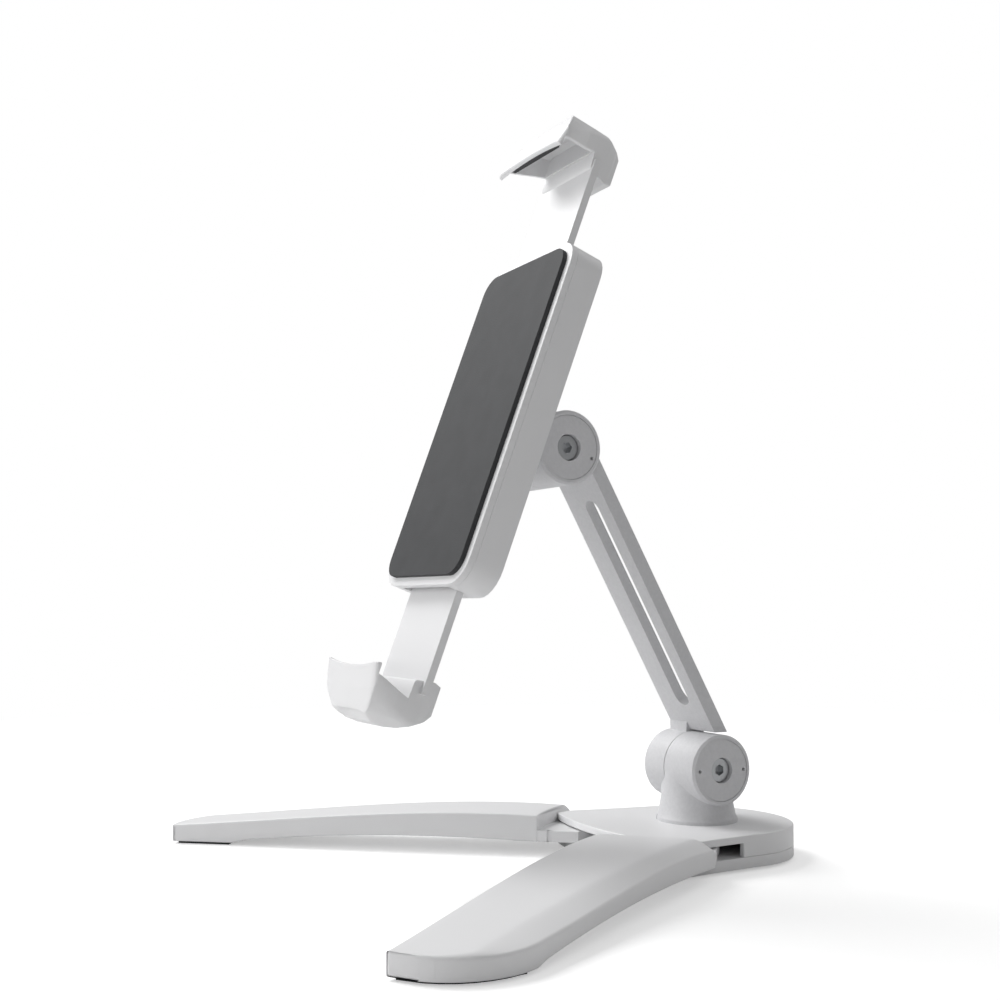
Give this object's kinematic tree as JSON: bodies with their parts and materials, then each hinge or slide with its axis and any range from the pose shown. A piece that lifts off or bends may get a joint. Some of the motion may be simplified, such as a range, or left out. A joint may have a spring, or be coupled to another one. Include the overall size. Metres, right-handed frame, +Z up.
{
  "type": "tablet stand",
  "caption": "Folding tablet stand in white: two swinging legs, a round hub, a slotted arm between two friction hinges and a sprung clamp with hooked claws.",
  "frame": {"origin": "on the desk directly below the turret axis, under the middle of the hub's centre pad", "axes": "+Z up along the turret axis, -Y to the screen side where the legs reach, +X to the right as seen from the screen side"},
  "size_m": [0.197, 0.1725, 0.2204],
  "materials": {
    "white_plastic": "satin",
    "white_metal": "satin",
    "steel": "satin",
    "rubber": "matte",
    "grey_plastic": "satin"
  },
  "bodies": {
    "base": {"base_shell": "white_plastic", "base_plate": "white_plastic", "base_pads": "rubber", "base_screws": "steel", "leg_pins": "steel"},
    "left_leg": {"left_leg": "white_plastic", "left_leg_pad": "rubber"},
    "right_leg": {"right_leg": "white_plastic", "right_leg_pad": "rubber"},
    "turret": {"turret": "white_metal", "turret_washer": "steel", "turret_screw": "steel", "lower_cap": "white_metal", "lower_bolt": "steel", "lower_washer": "steel"},
    "arm": {"arm": "white_metal", "lower_nut": "steel", "upper_nut": "steel"},
    "head": {"head": "white_metal", "upper_cap": "white_metal", "upper_bolt": "steel", "upper_washer": "steel", "swivel_washer": "steel", "swivel_screw": "steel"},
    "cradle": {"cradle_back": "white_plastic", "cradle_front": "white_plastic", "cradle_pad": "rubber", "cradle_screws": "steel", "claw_spring": "steel"},
    "pinion": {"pinion": "grey_plastic"},
    "upper_claw": {"upper_claw": "white_plastic", "upper_claw_pad": "rubber"},
    "lower_claw": {"lower_claw": "white_plastic", "lower_claw_pad": "rubber"}
  },
  "joints": [
    {"name": "left_leg_fold", "type": "hinge", "parent": "base", "child": "left_leg", "pos_m": [-0.0165, -0.0179, 0], "axis": [0, 0, 1], "range_deg": [-25, 35.3]},
    {"name": "right_leg_fold", "type": "hinge", "parent": "base", "child": "right_leg", "pos_m": [0.0165, -0.0179, 0], "axis": [0, 0, 1], "range_deg": [-35.3, 25]},
    {"name": "turret_swivel", "type": "hinge", "parent": "base", "child": "turret", "pos_m": [0, 0, 0.0104], "axis": [0, 0, 1], "continuous": true},
    {"name": "lower_tilt", "type": "hinge", "parent": "turret", "child": "arm", "pos_m": [0, 0, 0.027], "axis": [1, 0, 0], "range_deg": [-75, 18]},
    {"name": "upper_tilt", "type": "hinge", "parent": "arm", "child": "head", "pos_m": [0, -0.05373, 0.12275], "axis": [1, 0, 0], "range_deg": [-60, 30]},
    {"name": "cradle_rotate", "type": "hinge", "parent": "head", "child": "cradle", "pos_m": [0, -0.05373, 0.12275], "axis": [0, 0.9348, -0.3551], "continuous": true},
    {"name": "upper_claw_slide", "type": "slide", "parent": "cradle", "child": "upper_claw", "axis": [0, 0.3551, 0.9348], "range_m": [-0.01963, 0.02749], "stiffness_N_per_m": 40},
    {"name": "lower_claw_slide", "type": "slide", "parent": "cradle", "child": "lower_claw", "axis": [0, -0.3551, -0.9348], "range_m": [-0.01963, 0.02749]},
    {"name": "pinion_spin", "type": "hinge", "parent": "cradle", "child": "pinion", "pos_m": [0, -0.05373, 0.12275], "axis": [0, 0.9348, -0.3551], "range_deg": [-253, 181]}
  ],
  "couplings": [
    {"joint": "lower_claw_slide", "follows": "upper_claw_slide", "ratio": 1},
    {"joint": "pinion_spin", "follows": "upper_claw_slide", "rad_per_m": -160}
  ]
}
